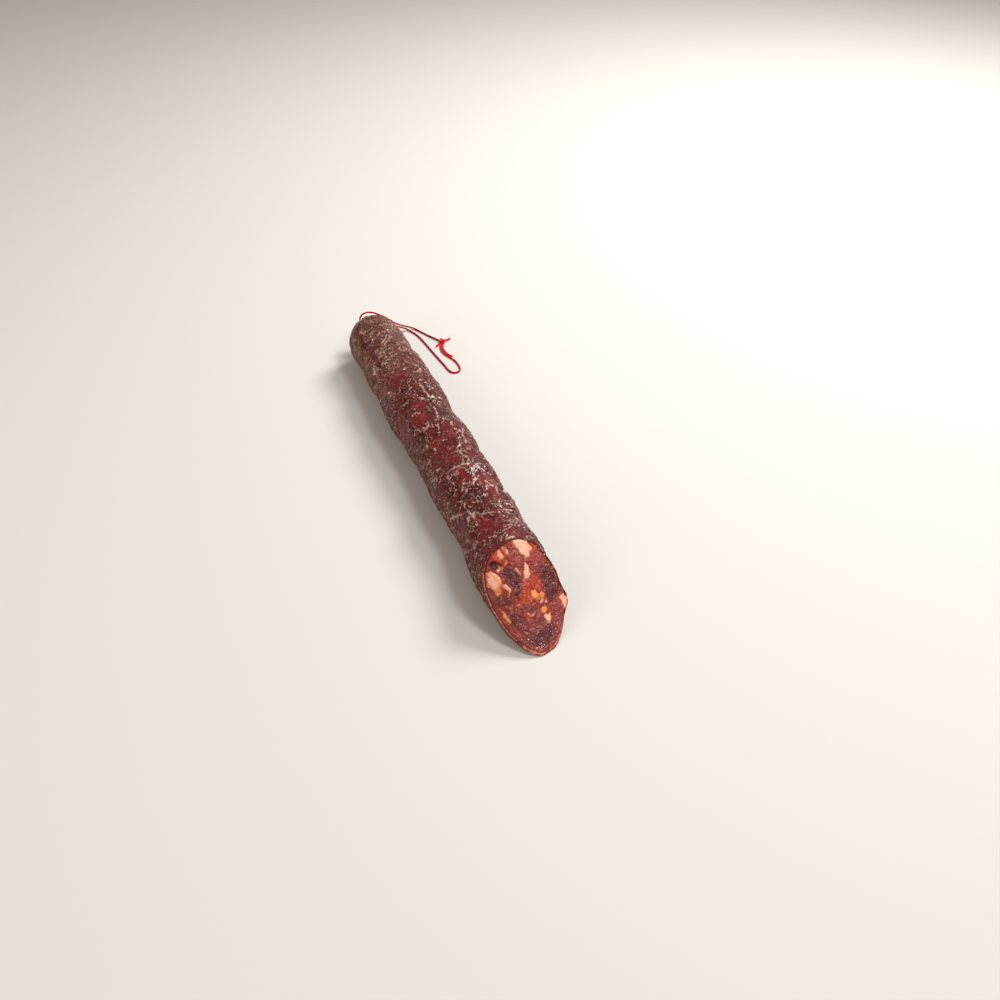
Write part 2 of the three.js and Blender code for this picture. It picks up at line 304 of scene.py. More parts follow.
string_way = in_metres([
    (-186.9, -4.2, 24.4), (-189.1, -5.2, 25.9), (-191.0, -4.7, 27.9), (-192.4, -2.3, 29.7),
    (-193.1, 1.8, 30.5), (-193.3, 6.2, 29.6), (-193.4, 10.8, 27.2), (-194.0, 17.8, 22.3),
    (-196.3, 25.0, 15.4), (-199.6, 31.0, 10.2), (-203.4, 36.8, 5.8), (-206.2, 41.4, 2.6),
    (-205.2, 45.1, 1.1), (-200.6, 47.8, LYING), (-189.2, 52.9, LYING), (-175.9, 59.3, 1.2),
    (-172.7, 59.4, 1.6),
    (-169.6, 58.2, 1.2), (-165.6, 56.4, LYING), (-159.4, 55.7, LYING), (-152.1, 56.7, LYING),
    (-145.9, 59.0, LYING), (-139.5, 60.7, LYING), (-131.4, 61.0, LYING), (-126.3, 60.3, LYING),
    (-123.3, 58.6, LYING), (-122.0, 55.6, LYING), (-123.3, 52.6, LYING), (-127.4, 50.9, LYING),
    (-136.9, 50.1, LYING), (-153.6, 48.4, LYING), (-189.7, 44.9, LYING), (-200.4, 41.8, 0.9),
    (-205.8, 38.4, 1.6), (-205.6, 33.6, 4.2), (-200.6, 29.2, 8.4), (-195.4, 24.2, 12.6),
    (-190.2, 17.6, 17.0), (-186.2, 11.2, 20.2), (-184.2, 7.5, 20.9),
])
string_line = smooth_line(string_way)
string = lay_twine("string", string_line)
string.data.materials.append(dark_twine)

# The dye is brighter from the knot on and at the loop's end
KNOT_EDGE = (-176.0, 52.0)      # along and across
CHANGE_AT_KNOT = 4.0
LOOP_END_FROM = -150.0
CHANGE_AT_END = 20.0
lies_at = get_places(string.data)
past_knot = (rising(lies_at[:, 0], KNOT_EDGE[0], CHANGE_AT_KNOT)
             * rising(lies_at[:, 1], KNOT_EDGE[1], CHANGE_AT_KNOT))
at_loop_end = 0.8 * rising(lies_at[:, 0], LOOP_END_FROM, CHANGE_AT_END)
keep_marks(string.data, {"brightened": np.maximum(past_knot, at_loop_end)})
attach(string, "root")
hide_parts("string_short", "string_long")


# The knot. An overhand knot pulled tight in the doubled string, 7 mm across, with three loose
# ends; the longest lies back along the loop. Tied in the same twine.
KNOT_MIDDLE = (-172.8, 60.2, 2.25)
KNOT_SIZE = (2.7, 2.0, 1.35)      # from the middle to the middle of the twine
KNOT_POINTS = 60
LOOSE_END_FRAY = 0.25             # how much wider an end opens
knot_turns = []
for k in range(KNOT_POINTS + 1):
    t = 2 * math.pi * k / KNOT_POINTS
    knot_turns.append((
        KNOT_MIDDLE[0] + KNOT_SIZE[0] * (math.sin(t) + 2 * math.sin(2 * t)) / 2.7,
        KNOT_MIDDLE[1] + KNOT_SIZE[1] * (math.cos(t) - 2 * math.cos(2 * t)) / 2.9,
        KNOT_MIDDLE[2] - KNOT_SIZE[2] * math.sin(3 * t) * 0.9))
loose_ends = [
    [(-173.2, 60.8, 2.6), (-174.0, 62.6, 2.2), (-175.4, 65.2, 1.3), (-177.1, 68.6, LYING)],
    [(-172.6, 59.8, 2.6), (-171.2, 57.8, 1.9), (-169.9, 55.8, 1.1), (-168.5, 53.6, LYING)],
    [(-172.0, 60.8, 2.4), (-169.4, 60.2, 1.7), (-165.8, 58.6, 1.0), (-159.4, 57.7, LYING),
     (-152.6, 58.7, LYING), (-147.8, 60.8, LYING)],
]


def join_parts(parts, name):
    """Makes one piece of several."""
    pick(*parts)
    bpy.ops.object.join()
    joined = bpy.context.object
    joined.name = name
    return joined


knot = join_parts(
    [lay_twine("knot_turns", smooth_line(in_metres(knot_turns)))]
    + [lay_twine("loose_end", smooth_line(in_metres(way)), fray=LOOSE_END_FRAY) for way in loose_ends],
    "knot")
knot.data.materials.append(bright_twine)
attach(knot, "root")
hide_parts("string_knot")


# The binding. The same string wound tight round the neck of the tail, four and a half turns side
# by side and one across them, to close the casing.
BINDING_X = -183.6
BINDING_MIDDLE = (1.0, 22.15)     # across and up
BINDING_REACH = 4.75              # from the middle of the tail to the middle of the twine
BINDING_WIDTH = 3.6
BINDING_TURNS = 4.5
POINTS_A_TURN = 32
PULLED_THIN = 1.15 * MM           # the twine's thickness, pulled this tight
UNEVEN_REACH = 0.05
CROSSING_REACH = 0.85             # it lies this much further out, over the others
CROSSING_SWAY = 1.1
CROSSING_START = 0.6              # radians from the top
CROSSING_POINTS = 40
winding_points = round(BINDING_TURNS * POINTS_A_TURN)


def round_tail(x, reach, turn):
    """A point beside the tail's middle, at a reach and turned from the top."""
    return x, BINDING_MIDDLE[0] + reach * math.sin(turn), BINDING_MIDDLE[1] + reach * math.cos(turn)


turns = []
for k in range(winding_points + 1):
    turn = 2 * math.pi * k / POINTS_A_TURN
    turns.append(round_tail(BINDING_X - BINDING_WIDTH / 2 + BINDING_WIDTH * k / winding_points,
                            BINDING_REACH + UNEVEN_REACH * math.sin(3 * turn), turn))
crossing = []
for k in range(CROSSING_POINTS + 1):
    turn = 2 * math.pi * k / POINTS_A_TURN + CROSSING_START
    crossing.append(round_tail(BINDING_X + CROSSING_SWAY * math.cos(turn * 0.5),
                               BINDING_REACH + CROSSING_REACH, turn))
binding = join_parts(
    [lay_twine("winding", smooth_line(in_metres(way)), thickness=PULLED_THIN) for way in (turns, crossing)],
    "binding")
binding.data.materials.append(dark_twine)
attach(binding, "root")
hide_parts("end_tie")


# The casing. Natural gut, a few tenths of a millimetre thick, dried tight on coarse meat: a net
# of small wrinkles, smooth windows where meat or fat presses against it, pale bloom, and painted
# glints on the crests of the wrinkles. It is gathered into pleats and a tail at one end and cut
# with the meat at the other.
SIDES = 170
ROWS_BETWEEN = 13                 # rows added between two stations
MIDDLE_Y = 1.0
MEAN_RADIUS = 22.0
stations = [                      # place along the stick, radius, height of the middle
    (-194.1, 1.2, 22.1), (-193.2, 5.4, 22.1), (-188.3, 5.0, 22.1), (-184.0, 3.5, 22.1), (-179.8, 4.2, 21.9),
    (-177.6, 10.0, 21.2), (-173.5, 16.8, 21.0), (-165.5, 21.2, 20.9), (-157.0, 22.0, 21.0),
]
STRAIGHT_FROM = -157.0
STRAIGHT_STATIONS = 31
STRAIGHT_Z = 21.4
STICK_END = 194.0
STICK_TOP = 46
LOOSE_RADIUS = 25.6               # at first it stands clear of the stick all round
CUT_FROM = 100.0                  # from here on the rows lean over, row by row, into the cut
CLOSER_ON_TOP = 0.28              # the columns stand closer on top, where the wrinkles are finest
for k in range(1, STRAIGHT_STATIONS + 1):
    place = STRAIGHT_FROM + (STICK_END - STRAIGHT_FROM) * k / STRAIGHT_STATIONS
    stations.append((place, LOOSE_RADIUS, STRAIGHT_Z))

# Smooth windows of red or orange meat: place along the stick, turn from the top towards the
# string's side in degrees, half length, half width, and how orange it is
WINDOWS = [
    (-66, -36, 14, 10, 0.15), (-24, -12, 6, 4, 0.1), (-6, -28, 6.5, 5, 0.8), (14, 5, 9, 3.6, 0.1),
    (25, -3, 7, 3.4, 0.1), (21, -23, 6, 3.5, 0.9), (40, -30, 9.5, 6.5, 0.25), (66, -11, 4.5, 3.4, 0.0),
    (74, 22, 6.5, 5.5, 0.7), (89, 20, 6, 3.2, 0.3), (104, -66, 9, 5, 0.2), (122, -24, 8, 4.5, 0.6),
    (134, 15, 7, 5, 0.2), (-137, -20, 5, 3.6, 0.2), (-20, -72, 12, 5, 0.5), (45, 22, 6, 3.5, 0.2),
    (-92, 32, 5, 4, 0.1), (-112, -46, 13, 2.2, 0.2), (147, -50, 6, 3, 0.9),
]
# Long pale creases, each a line of places and turns
CREASES = [
    [(-60, -57), (-52, -48), (-43, -52)], [(-46, 3), (-38, 5), (-30, 9)], [(-16, 5), (-7, 4), (0, 0)],
    [(2, -33), (6, -29), (4, -21)], [(33, 12), (38, 0), (45, 1), (52, 8), (60, 1)], [(58, 6), (58, -30)],
    [(61, -39), (70, -35)], [(66, 5), (73, 1), (78, -8), (79, -16)], [(77, 16), (83, 24)],
    [(99, 20), (106, 13)], [(109, 32), (111, 4)], [(112, -4), (109, -24)], [(98, -38), (109, -33)],
    [(104, -43), (110, -47)], [(96, -52), (88, -76)], [(60, 8), (58, 30)], [(-131, 2), (-121, -17)],
    [(-127, 6), (-117, -14)], [(-152, -46), (-145, -40)], [(12, 38), (20, 30), (29, 28)],
    [(84, 31), (93, 24)],
    [(-71, 26), (-66, 14), (-64, 4)], [(-76, 16), (-82, 4)], [(139, 2), (141, -20)],
    [(-97, -53), (-90, -52)],
    [(110, -34), (104, -30)], [(64, 30), (62, 16)], [(118, 27), (126, 34)], [(-110, 14), (-104, 8)],
]

# The cut is aslant: its top lies back, it is turned a little, and its left side falls away
CUT_FOOT = 195.0                  # place along the stick
CUT_SLOPE = 1.187                 # back for each millimetre up
CUT_TURN = 0.40                   # back for each millimetre across
LEFT_FALL = 14.5                  # further back at the left edge
LEFT_FALL_POWER = 1.7


def cut_place(y, z):
    """Where the cut lies along the stick, in millimetres, for a place across and up."""
    across = y - MIDDLE_Y
    falling = np.maximum(-across / MEAN_RADIUS, 0) ** LEFT_FALL_POWER
    return CUT_FOOT - CUT_SLOPE * z - CUT_TURN * across - LEFT_FALL * falling


bpy.ops.object.select_all(action='DESELECT')
bpy.ops.mesh.primitive_circle_add(
    vertices=SIDES, radius=stations[0][1] * MM, fill_type='NOTHING',
    location=(stations[0][0] * MM, MIDDLE_Y * MM, stations[0][2] * MM), rotation=(0, math.pi / 2, 0))
casing = bpy.context.object
casing.name = "casing"
bpy.ops.object.transform_apply(location=True, rotation=True, scale=True)
bpy.ops.object.mode_set(mode='EDIT')
bpy.ops.mesh.select_all(action='SELECT')
for (x0, r0, z0), (x1, r1, z1) in zip(stations, stations[1:]):
    bpy.ops.mesh.extrude_edges_move(TRANSFORM_OT_translate={"value": ((x1 - x0) * MM, 0, (z1 - z0) * MM)})
    bpy.ops.transform.resize(value=(1, r1 / r0, r1 / r0),
                             center_override=(x1 * MM, MIDDLE_Y * MM, z1 * MM))
bpy.ops.mesh.select_mode(type='EDGE')
bpy.ops.mesh.select_all(action='DESELECT')
bpy.ops.object.mode_set(mode='OBJECT')
mesh = casing.data
for edge in mesh.edges:                # those that run lengthwise
    a, b = (mesh.vertices[k].co for k in edge.vertices)
    edge.select = abs(a.x - b.x) > 0.2 * MM
bpy.ops.object.mode_set(mode='EDIT')
bpy.ops.mesh.subdivide(number_cuts=ROWS_BETWEEN)
bpy.ops.object.mode_set(mode='OBJECT')


def set_places(mesh, places):
    """Moves the vertices to these places, in millimetres."""
    mesh.vertices.foreach_set('co', (places * MM).ravel())
    mesh.update()


def get_normals(mesh):
    """The way that each vertex faces."""
    normals = np.empty(len(mesh.vertices) * 3)
    mesh.vertices.foreach_get('normal', normals)
    return normals.reshape(-1, 3)


def round_stick(places):
    """Height of the stick's middle at these places, and their turn from the top, in radians."""
    middle_z = np.interp(places[:, 0], [s[0] for s in stations], [s[2] for s in stations])
    return middle_z, np.arctan2(places[:, 1] - MIDDLE_Y, places[:, 2] - middle_z)


places = get_places(mesh)
middle_z, turn = round_stick(places)
reach = np.hypot(places[:, 1] - MIDDLE_Y, places[:, 2] - middle_z)
turn = turn - CLOSER_ON_TOP * np.sin(turn)
places[:, 1] = MIDDLE_Y + reach * np.sin(turn)
places[:, 2] = middle_z + reach * np.cos(turn)
row_place = places[:, 0].copy()
lean = rising(row_place, CUT_FROM, STICK_END - CUT_FROM)
set_places(mesh, places)

# It is drawn down onto the stick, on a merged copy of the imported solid, and its facets smoothed
DRAWINGS = 3
SMOOTHINGS = 14
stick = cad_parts["sausage"]
form = stick.copy()
form.data = stick.data.copy()
form.name = "stick_form"
bpy.context.collection.objects.link(form)
pick(form)
bpy.ops.object.mode_set(mode='EDIT')
bpy.ops.mesh.select_all(action='SELECT')
bpy.ops.mesh.remove_doubles(threshold=1e-5)
bpy.ops.object.mode_set(mode='OBJECT')
pick(casing)
for drawing in range(DRAWINGS + 1):
    places = get_places(mesh)
    at_cut = cut_place(places[:, 1], np.clip(places[:, 2], 0, STICK_TOP))
    places[:, 0] = np.where(lean > 0, row_place + lean * (at_cut - STICK_END), places[:, 0])
    set_places(mesh, places)
    if drawing < DRAWINGS:
        draw_down = casing.modifiers.new("draw_down", 'SHRINKWRAP')
        draw_down.target = form
        draw_down.wrap_method = 'NEAREST_SURFACEPOINT'
        bpy.ops.object.modifier_apply(modifier="draw_down")
is_rim = lean > 0.9995            # the last row
inner_rows = casing.vertex_groups.new(name="inner_rows")
inner_rows.add(np.flatnonzero(~is_rim).tolist(), 1.0, 'REPLACE')
soften = casing.modifiers.new("soften", 'SMOOTH')
soften.factor = 0.5
soften.iterations = SMOOTHINGS
soften.vertex_group = "inner_rows"
bpy.ops.object.modifier_apply(modifier="soften")
casing.vertex_groups.clear()
bpy.data.objects.remove(form)


def ripple(places, size, seed, octaves=1):
    """Smooth seeded noise, about -1 to 1, with hills of this size in millimetres."""
    shift = Vector((17.3 * seed, 5.1 * seed, -9.7 * seed))
    values = np.zeros(len(places))
    for octave in range(octaves):
        scale = 2 ** octave / size
        values += [noise.noise(Vector(place) * scale + shift, noise_basis='PERLIN_ORIGINAL') / 2 ** octave
                   for place in places]
    return values


def thread_of(places, size, seed, width):
    """1 on the lines where a ripple crosses zero, falling to 0 at a width beside them."""
    return 1 - np.clip(np.abs(ripple(places, size, seed)) / width, 0, 1)


def hump(values, middle, width):
    """A bell curve, 1 at its middle."""
    return np.exp(-((values - middle) / width) ** 2)


def eased(share):
    """A share between 0 and 1, with soft ends."""
    return share * share * (3 - 2 * share)


def far_from(x, turns, line):
    """Distance in millimetres over the casing from each place to a line of places and turns."""
    around = turns * MEAN_RADIUS
    nearest = np.full(len(x), 99.0)
    for (x0, t0), (x1, t1) in zip(line, line[1:]):
        a = np.array([x0, math.radians(t0) * MEAN_RADIUS])
        b = np.array([x1, math.radians(t1) * MEAN_RADIUS])
        way = b - a
        share = np.clip(((x - a[0]) * way[0] + (around - a[1]) * way[1]) / (way @ way), 0, 1)
        nearest = np.minimum(nearest, np.hypot(x - a[0] - share * way[0], around - a[1] - share * way[1]))
    return nearest


places = get_places(mesh)
x = places[:, 0]
turns = round_stick(places)[1]
degrees = np.degrees(turns)

# Windows: those chosen above, and seeded ones on the sides that face away
SEEDED_WINDOWS = 26
WINDOW_SWAY = 4.5                 # how far their outlines stray
windows = list(WINDOWS)
rng = np.random.default_rng(7)
for k in range(SEEDED_WINDOWS):
    windows.append((rng.uniform(-140, 150), rng.uniform(62, 235), rng.uniform(4, 11), rng.uniform(3, 6),
                    rng.uniform(0, 0.8) ** 2))
sway = WINDOW_SWAY * np.stack([ripple(places, 6.0, seed, 2) for seed in (1, 2)], -1)
window = np.zeros(len(x))
orange = np.zeros(len(x))
for middle_x, middle_turn, half_long, half_wide, how_orange in windows:
    off = (degrees - middle_turn + 180) % 360 - 180
    reach = np.hypot((x - middle_x + sway[:, 0]) / half_long,
                     (np.radians(off) * MEAN_RADIUS + sway[:, 1]) / half_wide)
    inside = eased(rising(reach, 1.75, -1.2))
    orange = np.where(inside > window, how_orange, orange)
    window = np.maximum(window, inside)

CREASE_WIDTH = 0.55
crease = np.zeros(len(x))
wobble = 0.9 * ripple(places, 3.0, 3)
for line in CREASES:
    away = far_from(x + wobble, turns + wobble / MEAN_RADIUS, line)
    crease = np.maximum(crease, hump(away, 0, CREASE_WIDTH))
crease *= np.clip(0.75 + 1.2 * ripple(places, 4.0, 4), 0, 1)

# The net of wrinkles: lines where warped noise crosses zero, broad ones and fine ones, and a
# stack of them side by side in one place
warped = places + 1.3 * np.stack([ripple(places, 3.6, seed) for seed in (5, 6, 7)], -1)
broad = thread_of(warped, 5.6, 8, 0.24) ** 1.3
fine = thread_of(warped, 3.4, 9, 0.28) ** 1.2
stacked = thread_of(warped * [1.9, 0.8, 0.8], 4.0, 10, 0.30)
on_stack = hump(x, -66, 17) * hump(degrees, 25, 22)
net = np.clip(0.75 * broad + 0.6 * fine, 0, 1.2) * (1 - on_stack) + 1.2 * stacked * on_stack

# Where it is calmer: on the left, in the windows, at the round end, and pressed flat beneath
left_calm = rising(degrees, -48, -18) * (degrees > -125)
under = rising(np.abs(degrees), 125, 25)
round_end = rising(x, -150, -20)
liveliness = (1 - 0.15 * left_calm) * (1 - 0.9 * under) * (1 - 0.45 * round_end) * (1 - 0.70 * window)
near_rim = rising(lean, 0.90, 0.09)
tail = rising(x, -176, -3)
lumps = ripple(places, 8.0, 11)

# Its height over the stick, in millimetres
NET_HEIGHT = 0.68
CREASE_HEIGHT = 0.45
WINDOW_DEPTH = 0.45
LUMP_HEIGHT = 0.55
PLEATS = 17
PLEAT_HEIGHT = 0.12
SUNK = 0.30                       # it all lies this much deeper, so that the ridges come out level
FAT_BULGE = 2.8                   # where fat bulges out at the cut's right side
LOWEST = 0.02
height = CREASE_HEIGHT * crease - WINDOW_DEPTH * window
height = (NET_HEIGHT * net * liveliness + height * (1 - under)) * (1 - near_rim)
height = (height + LUMP_HEIGHT * lumps * (1 - under)) * (1 - tail)
height += tail * PLEAT_HEIGHT * np.cos(turns * PLEATS + 2 * ripple(places, 5.0, 12))
height += FAT_BULGE * hump(degrees, 108, 9) * rising(lean, 0.88, 0.12) - SUNK
places = places + get_normals(mesh) * height[:, None]
places[:, 2] = np.maximum(places[:, 2], LOWEST)
set_places(mesh, places)

bloom = np.clip((-78 - x) / 45 + 0.9 * ripple(places, 16.0, 13), 0, 1) * rising(degrees, -52, 22)
mauve = rising(degrees, -50, -14) * np.clip((-30 - x) / 60, 0.25, 1)
mauve = np.maximum(mauve, hump(x, -79, 7) * hump(degrees, -30, 20))
ring = rising(np.abs(window - 0.35), 0.30, -0.30)      # round each window
keep_marks(mesh, {
    "crest": np.clip(net + 0.5 * ring, 0, 1) * liveliness, "lively": liveliness, "window": window,
    "orange": orange * window, "crease": crease,
    "bloom": np.maximum(bloom, 0.75 * rising(x, -150, -14)),
    "mauve": np.maximum(mauve, 0.8 * hump(x, 16, 9) * hump(degrees, -50, 10)),
    # hollow: low places between the lumps and away from the wrinkles, darkened as painted shade
    "hollow": np.clip(0.5 - 1.1 * lumps - 0.45 * net, 0, 1), "near_cut": rising(lean, 0.93, 0.06)})

# The cut edge: the gut's own thickness, turned in over the meat and down beside it
CUT_FACING = Vector((1, 0.10, CUT_SLOPE)).normalized()
LIP_STEPS = ((0.25, 0.35), (0.35, 0.12), (0.3, -0.5), (0.3, -1.6), (1.5, -5.0))     # inwards, out
LIP_RADIUS = 21.5
rim_order = sorted(np.flatnonzero(is_rim).tolist(), key=lambda k: turns[k])
rim = get_places(mesh)[rim_order]
rim_middle = Vector(rim.mean(axis=0)) * MM
bpy.ops.object.mode_set(mode='EDIT')
bpy.ops.mesh.select_mode(type='VERT')
bpy.ops.mesh.select_all(action='DESELECT')
bpy.ops.object.mode_set(mode='OBJECT')
for k in rim_order:
    mesh.vertices[k].select = True
bpy.ops.object.mode_set(mode='EDIT')
for inward, outward in LIP_STEPS:
    step = CUT_FACING * outward * MM
    bpy.ops.mesh.extrude_edges_move(TRANSFORM_OT_translate={"value": step})
    share = 1 - inward / LIP_RADIUS
    bpy.ops.transform.resize(value=(share, share, share), center_override=tuple(rim_middle + step))
bpy.ops.mesh.edge_face_add()
bpy.ops.mesh.select_all(action='DESELECT')
bpy.ops.object.mode_set(mode='OBJECT')
for vertex in mesh.vertices:           # the first ring, at the tail's end
    vertex.select = vertex.index < SIDES
bpy.ops.object.mode_set(mode='EDIT')
bpy.ops.mesh.edge_face_add()
face_outward()
turned_in = get_places(mesh)
turned_in[len(places):, 2] = np.maximum(turned_in[len(places):, 2], 0.4)
set_places(mesh, turned_in)
bare_edge = np.maximum(rising(turned_in[:, 2], 14, -10),
                       rising(turned_in[:, 1], -12, -4) * rising(turned_in[:, 2], 37, -6))
bare_edge = np.clip(bare_edge - 0.12 + (0.7 + 0.5 * bare_edge) * ripple(turned_in, 3.0, 31), 0.05, 1)
lip = np.ones(len(mesh.vertices))
lip[:len(places)] = rising(lean, 0.985, 0.012)
keep_marks(mesh, {"lip": lip * bare_edge})


# Thin lines of wrinkled skin or sinew, for the casing and the meat: where noise crosses its
# middle, broken up by a coarser noise.
strands, strands_in, strands_out = add_group(
    "thin_lines",
    [("Scale", 'NodeSocketFloat', 900.0), ("Width", 'NodeSocketFloat', 0.05),
     ("Share", 'NodeSocketFloat', 0.5)],
    [("Line", 'NodeSocketFloat'), ("Height", 'NodeSocketFloat')])
scale, width, share = (strands_in.outputs[label] for label in ("Scale", "Width", "Share"))
winding = add_noise(strands, Scale=scale, Detail=2.0, Roughness=0.6, Distortion=0.6)
off_middle = reckon(strands, 'ABSOLUTE', reckon(strands, 'SUBTRACT', winding, 0.5))
line = reckon(strands, 'SUBTRACT', 1.0, reckon(strands, 'DIVIDE', off_middle, width), clamp=True)
gaps = add_noise(strands, Scale=times(strands, scale, 1.6), Detail=2.0)
whole = ramp(strands, reckon(strands, 'ADD', gaps, share), 7.0, -7.0)
spread = reckon(strands, 'DIVIDE', off_middle, times(strands, width, 3.0))
ridge = reckon(strands, 'POWER', reckon(strands, 'SUBTRACT', 1.0, spread, clamp=True), 1.6)
set_node(strands, strands_out, Line=times(strands, line, whole), Height=ridge)


def add_lines(tree, scale, width, share):
    """Thin lines; gives where they are and their height."""
    node = place_node(tree, 'ShaderNodeGroup', node_tree=strands, Scale=scale, Width=width, Share=share)
    return node.outputs['Line'], node.outputs['Height']


def tint(tree, color, *tones):
    """Lays tones over a colour one after the other, each given with its mask and its strength."""
    for mask, strength, tone in tones:
        color = blend(tree, times(tree, mask, strength), color, tone)
    return color


casing_skin, tree, skin = new_material("casing_skin")
marked = {label: read_mark(tree, label)
          for label in ("crest", "lively", "window", "orange", "crease", "bloom", "mauve", "lip", "hollow",
                        "near_cut")}
stain = add_noise(tree, Scale=150.0, Detail=4.0, Roughness=0.6)
freckle = add_noise(tree, Scale=620.0, Detail=3.0, Roughness=0.65)
mottle = add_noise(tree, Scale=330.0, Detail=5.0, Roughness=0.7, Distortion=1.2)
speck = ramp(tree, freckle, 3.0, -1.0)
blotch = ramp(tree, mottle, 7.0, -3.2)
dusty = times(tree, marked["bloom"], ramp(tree, mottle, 11.0, -5.8))
line, line_height = add_lines(tree, 140.0, 0.025, 0.55)
finer, finer_height = add_lines(tree, 290.0, 0.036, 0.52)

# Pale dash marks on the crests of the wrinkles and along the creases: dried bloom, and painted
# glints where the crests would catch the light
gathered = times(tree, ramp(tree, stain, -5.0, 3.1), ramp(tree, marked["crest"], 2.6, 0.25))
bloom_and_glint_dashes = times(tree, reckon(tree, 'MAXIMUM', line, finer), times(tree, gathered, marked["lively"]))
torn_crease = times(tree, marked["crease"], reckon(tree, 'MULTIPLY_ADD', blotch, 0.6, 0.35))
bloom_and_glint_dashes = reckon(tree, 'MAXIMUM', bloom_and_glint_dashes, torn_crease)

# Dark wine with brown blotches, browner and spotted on the left, red in the windows, with painted
# shade in the hollows between the lumps, and pale dash marks of bloom and painted glints
color = tint(
    tree, blend(tree, ramp(tree, stain, 3.0, -1.0), (0.058, 0.005, 0.006), (0.150, 0.012, 0.010)),
    (blotch, 0.30, (0.170, 0.058, 0.040)),
    (marked["mauve"], 0.75, (0.128, 0.045, 0.028)),
    (times(tree, marked["mauve"], blotch), 0.70, (0.350, 0.170, 0.115)),
    (marked["window"], 0.70, blend(tree, speck, (0.092, 0.004, 0.010), (0.172, 0.008, 0.021))),
    (marked["orange"], 0.45, (0.230, 0.026, 0.010)),
    # painted shade in the hollows between the lumps
    (marked["hollow"], 0.60, (0.032, 0.004, 0.006)),
    (marked["bloom"], 0.55, (0.100, 0.040, 0.030)),
    (dusty, 0.9, (0.410, 0.262, 0.190)),
    # pale dash marks: dried bloom, and painted glints on the crests
    (bloom_and_glint_dashes, 1.15, (0.920, 0.640, 0.540)),
    # the cut edge of the gut, dark red to pale pink, its pale specks partly painted glints
    (marked["lip"], 0.9, blend(tree, speck, (0.260, 0.028, 0.018), (0.720, 0.340, 0.250))))
rough = reckon(tree, 'MULTIPLY_ADD', dusty, 0.25, reckon(tree, 'MULTIPLY_ADD', freckle, 0.30, 0.30))

# It shines on the ridges and in the windows, less where it is dusty, browner or near the cut
ridges = times(tree, reckon(tree, 'MAXIMUM', line_height, finer_height), marked["lively"])
shine = reckon(tree, 'MULTIPLY_ADD', ridges, 0.72, 0.02)
shine = reckon(tree, 'MULTIPLY_ADD', marked["window"], 0.15, shine)
shine = reckon(tree, 'MULTIPLY', shine, reckon(tree, 'SUBTRACT', 1.0, dusty), clamp=True)
shine = times(tree, shine, reckon(tree, 'MULTIPLY_ADD', marked["mauve"], -0.6, 1.0))
shine = times(tree, shine, reckon(tree, 'MULTIPLY_ADD', marked["near_cut"], -0.85, 1.0))
relief = reckon(tree, 'ADD', times(tree, line_height, 0.75), times(tree, finer_height, 0.35))
relief = reckon(tree, 'MULTIPLY_ADD', freckle, 0.12, times(tree, relief, marked["lively"]))
set_node(tree, skin, Base_Color=color, Roughness=rough, Coat_Weight=shine, Coat_Roughness=0.22,
         Specular_IOR_Level=0.05, Normal=bumped(tree, relief, 1.0, 1.1 * MM))
casing.data.materials.append(casing_skin)
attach(casing, "root")
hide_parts("sausage")


# The meat on the cut face. Coarse pork: pale fat and dark lean in a red paste of fine meat,
# oil and paprika, moist and shining, with one small hollow where a piece has come away.
FACE_SLOPE = 1.5521               # millimetres along the face for each millimetre up
FACE_MIDDLE = (1.0, 21.5)         # across and up
FACE_COLUMNS = 230
FACE_ROWS = 330
INSIDE_RIM = 0.55                 # it ends this far inside the casing's edge
# Large pieces on the face: how dark or oily, and corners across and up
LEAN = [
    (0.75, [(-21.2, 23.1), (-16.0, 24.6), (-11.5, 23.9), (-8.8, 22.0), (-12.1, 20.7), (-20.8, 19.7)]),
    (0.75, [(-13.5, 19.6), (-9.2, 20.0), (-7.2, 17.1), (-6.6, 13.2), (-9.2, 10.9), (-16.0, 12.7)]),
    (0.62, [(-13.2, 13.2), (-6.0, 13.8), (-0.5, 12.8), (5.6, 11.8), (11.6, 12.6), (14.0, 7.2), (10.6, 3.2),
            (1.0, 2.6), (-7.0, 5.6)]),
    (0.98, [(-6.6, 7.8), (-2.2, 9.9), (4.1, 8.9), (9.4, 8.6), (9.9, 4.7), (5.1, 2.9), (-3.7, 4.4)]),
    (0.45, [(-3.2, 19.5), (2.0, 19.6), (5.6, 18.2), (4.9, 15.3), (0.9, 14.6), (-3.8, 16.9)]),
    (0.30, [(12.4, 15.6), (18.9, 15.3), (19.7, 10.4), (18.1, 5.9), (13.9, 3.6), (10.9, 7.9)]),
    (0.05, [(-3.9, 40.3), (-1.3, 41.8), (1.7, 39.9), (2.9, 37.3), (1.8, 34.1), (-2.3, 34.5)]),
    (0.10, [(6.5, 35.0), (9.4, 36.9), (13.5, 37.4), (17.2, 35.1), (17.8, 31.7), (10.4, 29.9), (7.1, 30.9)]),
    (1.00, [(11.8, 30.5), (15.0, 30.8), (19.0, 29.6), (21.3, 25.4), (22.2, 20.1), (19.3, 16.1),
            (16.2, 15.6), (13.0, 16.4), (11.8, 20.2), (11.4, 25.1)]),
    (0.95, [(-11.3, 33.6), (-9.7, 35.3), (-6.5, 36.1), (-3.5, 34.9), (-1.5, 32.1), (-0.9, 29.3),
            (-2.4, 27.2), (-3.4, 24.6), (-6.8, 24.1), (-8.4, 26.4), (-8.9, 29.0), (-10.9, 30.5)]),
    (0.60, [(2.0, 13.7), (5.8, 13.6), (6.8, 10.7), (3.4, 9.7), (0.3, 11.1)]),
    (0.25, [(-5.8, 15.2), (-1.8, 14.7), (-0.8, 11.6), (-3.8, 10.2), (-6.2, 11.6)]),
]
